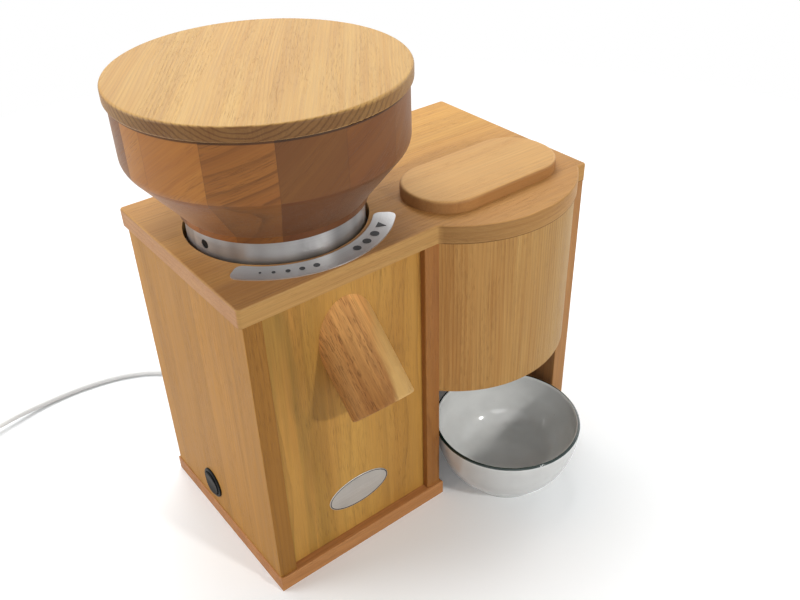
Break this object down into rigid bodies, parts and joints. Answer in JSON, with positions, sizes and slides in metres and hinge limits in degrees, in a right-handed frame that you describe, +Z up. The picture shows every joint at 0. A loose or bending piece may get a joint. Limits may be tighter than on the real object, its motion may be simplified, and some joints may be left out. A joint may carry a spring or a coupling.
{
  "type": "electric grain mill",
  "caption": "Wooden stone grain mill with a round lidded hopper and slanting spout, joined to a roller flaker with a bowed front and a collecting bowl.",
  "frame": {"origin": "on the table, under the centre of the top plate's rectangle", "axes": "+Z up, -Y towards the user (spout and bowl), +X to the flaker side"},
  "size_m": [0.5151, 0.4382, 0.3964],
  "materials": {
    "case_wood": "oiled beech",
    "front_wood": "oiled beech, yellower board",
    "bow_wood": "oiled, fine upright grain",
    "top_wood": "oiled beech, pale",
    "spout_wood": "oiled beech",
    "hopper_wood": "oiled, reddish, glued staves",
    "lid_wood": "oiled beech, pale",
    "rear_board": "dark grey coated board",
    "bare_metal": "brushed",
    "steel": "bright",
    "black_plastic": "satin",
    "grey_plastic": "matte",
    "stone": "rough corundum and ceramic",
    "felt": "pressed felt",
    "motor_paint": "semi-gloss",
    "motor_iron": "laminated",
    "capacitor_can": "smooth",
    "bronze": "turned",
    "cord_plastic": "pale grey",
    "pin_metal": "bright",
    "ceramic": "white glaze with a dark green rim line"
  },
  "bodies": {
    "case": {"base_plate": "case_wood", "left_side_panel": "case_wood", "divider_panel": "case_wood", "right_side_panel": "case_wood", "corner_battens": "case_wood", "ceiling_ledges": "case_wood", "mill_front_panel": "front_wood", "bow_front_panel": "bow_wood", "top_plate": "top_wood", "spout": "spout_wood", "mill_rear_panel": "rear_board", "flaker_rear_panel": "rear_board", "bay_ceiling": "rear_board", "scale_plate": "bare_metal", "name_badge": "bare_metal", "wood_screws": "steel", "motor_bolts": "steel", "motor_bearings": "steel", "flaker_front_plate": "steel", "flaker_rear_plate": "steel", "spacer_bars": "steel", "flaker_funnel": "steel", "flake_chute": "steel", "switch_housing": "black_plastic", "milling_chamber": "grey_plastic", "motor_housing": "motor_paint", "motor_end_cap": "motor_paint", "flaker_motor": "motor_paint", "flaker_gearbox": "motor_paint", "motor_stator": "motor_iron", "capacitor": "capacitor_can", "roller_bushes": "bronze", "strain_relief": "cord_plastic", "mains_cord_near": "cord_plastic", "mains_cord_far": "cord_plastic", "cord_coil": "cord_plastic", "mains_plug": "cord_plastic", "plug_pins": "pin_metal"},
    "seal": {"hopper_seal": "felt"},
    "hopper": {"hopper_bowl": "hopper_wood", "hopper_ring": "bare_metal", "pointer_screw": "black_plastic", "hopper_screws": "steel", "stone_holder": "grey_plastic", "upper_stone": "stone"},
    "lid": {"hopper_lid": "lid_wood"},
    "mill_drive": {"motor_shaft": "steel", "motor_rotor": "motor_iron", "motor_fan": "black_plastic", "stone_carrier": "grey_plastic", "carrier_screw": "steel", "lower_stone": "stone"},
    "rocker": {"switch_rocker": "black_plastic"},
    "feed_lid": {"flaker_lid": "top_wood"},
    "left_roll": {"left_roller": "steel", "left_gear": "steel"},
    "right_roll": {"right_roller": "steel", "right_gear": "steel"},
    "bowl": {"flake_bowl": "ceramic"}
  },
  "joints": [
    {"name": "hopper_lift", "type": "slide", "parent": "case", "child": "seal", "axis": [0, 0, 1], "range_m": [0, 0.002]},
    {"name": "hopper_turn", "type": "hinge", "parent": "seal", "child": "hopper", "pos_m": [-0.0783, 0, 0.264], "axis": [0, 0, 1], "range_deg": [0, 130]},
    {"name": "lid_lift", "type": "slide", "parent": "hopper", "child": "lid", "axis": [0, 0, 1], "range_m": [0, 0.1]},
    {"name": "mill_spin", "type": "hinge", "parent": "case", "child": "mill_drive", "pos_m": [-0.0783, 0, 0.15], "axis": [0, 0, 1], "continuous": true},
    {"name": "switch_rock", "type": "hinge", "parent": "case", "child": "rocker", "pos_m": [-0.1628, 0.0153, 0.0377], "axis": [0, 1, 0], "range_deg": [-10, 10]},
    {"name": "feed_lid_lift", "type": "slide", "parent": "case", "child": "feed_lid", "axis": [0, 0, 1], "range_m": [0, 0.04]},
    {"name": "left_roll_spin", "type": "hinge", "parent": "case", "child": "left_roll", "pos_m": [0.06005, -0.0545, 0.2], "axis": [0, 1, 0], "continuous": true},
    {"name": "right_roll_spin", "type": "hinge", "parent": "case", "child": "right_roll", "pos_m": [0.09845, -0.0545, 0.2], "axis": [0, 1, 0], "continuous": true},
    {"name": "bowl_slide", "type": "slide", "parent": "case", "child": "bowl", "axis": [0, -1, 0], "range_m": [-0.03, 0.14]}
  ],
  "couplings": [
    {"joint": "hopper_lift", "follows": "hopper_turn", "m_per_rad": 0.00079577},
    {"joint": "right_roll_spin", "follows": "left_roll_spin", "ratio": -1}
  ]
}
